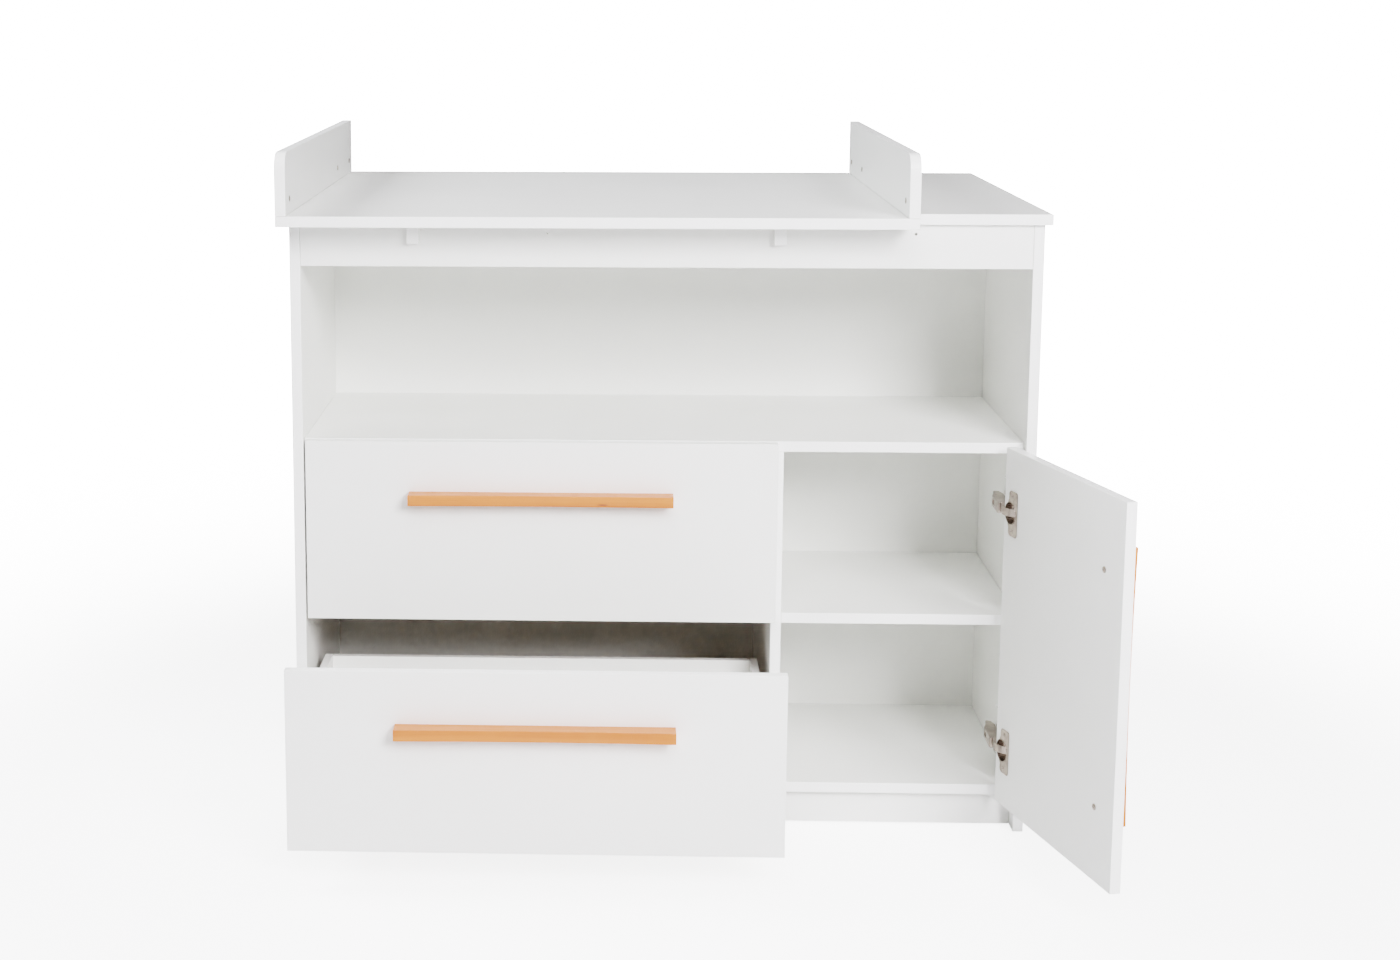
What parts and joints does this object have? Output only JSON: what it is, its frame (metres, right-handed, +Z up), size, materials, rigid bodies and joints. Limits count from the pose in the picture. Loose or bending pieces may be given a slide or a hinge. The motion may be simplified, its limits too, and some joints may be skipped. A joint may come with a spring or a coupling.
{
  "type": "changing table",
  "caption": "Changing table with low side walls on a deep top, an open compartment, wide drawers on full-length runners and a hinged cabinet door, all with wooden bar handles.",
  "frame": {"origin": "on the floor, under the middle of the whole object's box, with the lower drawer out and the door open as stored", "axes": "+X to the user's right, +Y from the front towards the wall, +Z up"},
  "size_m": [1.1976, 1.0786, 1.0401],
  "materials": {
    "white_melamine": "satin white melamine face on chipboard, white edge band",
    "white_hardboard": "smooth white lacquered hardboard, bare brown fibre on the unseen face",
    "beech": "clear satin lacquer on steamed beech",
    "nickel": "nickel-plated steel and zinc",
    "coated_steel": "white powder-coated sheet steel",
    "dark_plastic": "matt black plastic"
  },
  "bodies": {
    "cabinet": {"back_panel": "white_hardboard", "bottom_panel": "white_melamine", "cabinet_shelf": "white_melamine", "changing_board": "white_melamine", "changing_wall_left": "white_melamine", "changing_wall_right": "white_melamine", "front_rail": "white_melamine", "glide_left_front": "dark_plastic", "glide_left_rear": "dark_plastic", "glide_right_front": "dark_plastic", "glide_right_rear": "dark_plastic", "hinge_arm_lower": "nickel", "hinge_arm_upper": "nickel", "hinge_spacer_lower": "white_melamine", "hinge_spacer_upper": "white_melamine", "lower_drawer_fixed_runner_left": "coated_steel", "lower_drawer_fixed_runner_right": "coated_steel", "middle_shelf": "white_melamine", "partition": "white_melamine", "plinth": "white_melamine", "rear_console_left": "white_melamine", "rear_console_middle": "white_melamine", "rear_console_right": "white_melamine", "rear_rail": "white_melamine", "shelf_pin_left_front": "nickel", "shelf_pin_left_rear": "nickel", "shelf_pin_right_front": "nickel", "shelf_pin_right_rear": "nickel", "side_panel_left": "white_melamine", "side_panel_right": "white_melamine", "side_top_board": "white_melamine", "stop_block_left": "white_melamine", "stop_block_right": "white_melamine", "upper_drawer_fixed_runner_left": "coated_steel", "upper_drawer_fixed_runner_right": "coated_steel"},
    "upper_drawer": {"upper_drawer_back": "white_melamine", "upper_drawer_bottom": "white_hardboard", "upper_drawer_front": "white_melamine", "upper_drawer_handle": "beech", "upper_drawer_side_left": "white_melamine", "upper_drawer_side_right": "white_melamine", "upper_drawer_sliding_runner_left": "coated_steel", "upper_drawer_sliding_runner_right": "coated_steel"},
    "lower_drawer": {"lower_drawer_back": "white_melamine", "lower_drawer_bottom": "white_hardboard", "lower_drawer_front": "white_melamine", "lower_drawer_handle": "beech", "lower_drawer_side_left": "white_melamine", "lower_drawer_side_right": "white_melamine", "lower_drawer_sliding_runner_left": "coated_steel", "lower_drawer_sliding_runner_right": "coated_steel"},
    "door": {"door_panel": "white_melamine", "door_handle": "beech", "hinge_cup_lower": "nickel", "hinge_cup_upper": "nickel", "door_handle_screw_lower": "nickel", "door_handle_screw_upper": "nickel"}
  },
  "joints": [
    {"name": "upper_drawer_slide", "type": "slide", "parent": "cabinet", "child": "upper_drawer", "axis": [0, -1, 0], "range_m": [0, 0.263]},
    {"name": "lower_drawer_slide", "type": "slide", "parent": "cabinet", "child": "lower_drawer", "axis": [0, -1, 0], "range_m": [-0.243, 0.02]},
    {"name": "door_hinge", "type": "hinge", "parent": "cabinet", "child": "door", "pos_m": [0.49416, -0.19209, 0.32975], "axis": [0, 0, 1], "range_deg": [-105.4, 4.6]}
  ]
}
